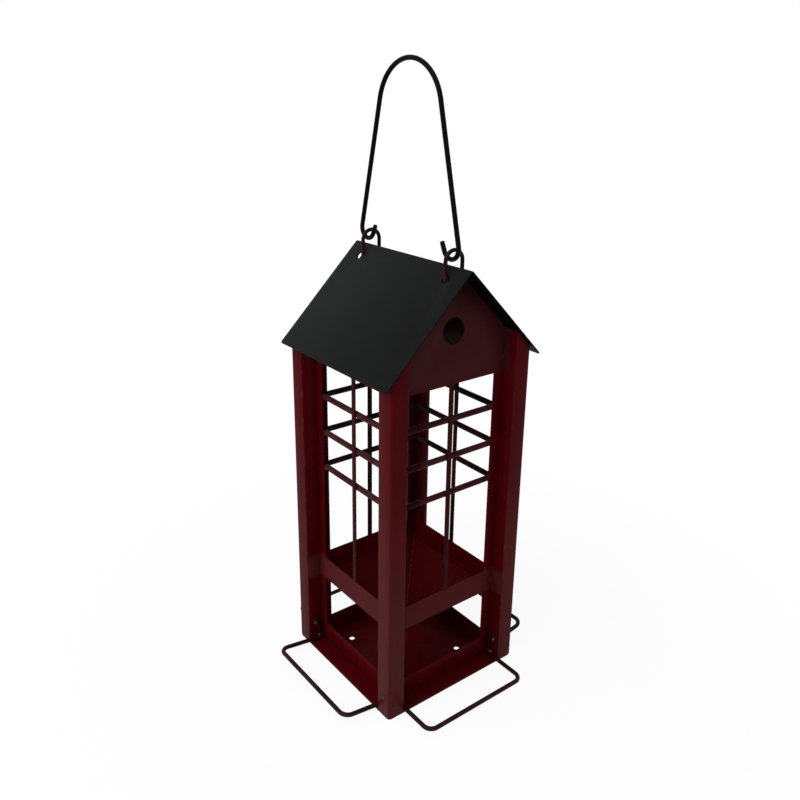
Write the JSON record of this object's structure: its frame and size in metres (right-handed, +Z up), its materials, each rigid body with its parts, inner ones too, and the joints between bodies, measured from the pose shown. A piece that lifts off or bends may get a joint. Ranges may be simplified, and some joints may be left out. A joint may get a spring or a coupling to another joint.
{
  "type": "bird feeder",
  "caption": "House-shaped hanging bird feeder of painted sheet steel, with wire-barred windows, a seed funnel over an open tray, wire perches and a wire bail handle.",
  "frame": {"origin": "centre of the base plate's underside, which the feeder stands on", "axes": "+Z up, +Y towards the back gable along the ridge, +X towards the right-hand eave"},
  "size_m": [0.1633, 0.1631, 0.4072],
  "materials": {
    "red_paint": "satin",
    "roof_paint": "satin",
    "black_wire": "gloss"
  },
  "bodies": {
    "house": {"base_plate": "red_paint", "post_front_left": "red_paint", "post_front_right": "red_paint", "post_back_right": "red_paint", "post_back_left": "red_paint", "gable_panel_front": "red_paint", "gable_panel_back": "red_paint", "side_panel_left": "red_paint", "side_panel_right": "red_paint", "seed_funnel": "red_paint", "crossbar_front_1": "red_paint", "crossbar_front_2": "red_paint", "crossbar_front_3": "red_paint", "crossbar_right_1": "red_paint", "crossbar_right_2": "red_paint", "crossbar_right_3": "red_paint", "crossbar_back_1": "red_paint", "crossbar_back_2": "red_paint", "crossbar_back_3": "red_paint", "crossbar_left_1": "red_paint", "crossbar_left_2": "red_paint", "crossbar_left_3": "red_paint", "perch_front": "red_paint", "perch_right": "red_paint", "perch_back": "red_paint", "perch_left": "red_paint", "ridge_staple_front": "red_paint", "ridge_staple_back": "red_paint"},
    "roof": {"roof": "roof_paint"},
    "handle": {"handle": "black_wire"}
  },
  "joints": [
    {"name": "roof_lift", "type": "slide", "parent": "house", "child": "roof", "axis": [0, 0, 1], "range_m": [0, 0.0015]},
    {"name": "handle_swing", "type": "hinge", "parent": "roof", "child": "handle", "pos_m": [-0.0025, 0, 0.29553], "axis": [0, 1, 0], "range_deg": [-125, 125]}
  ]
}
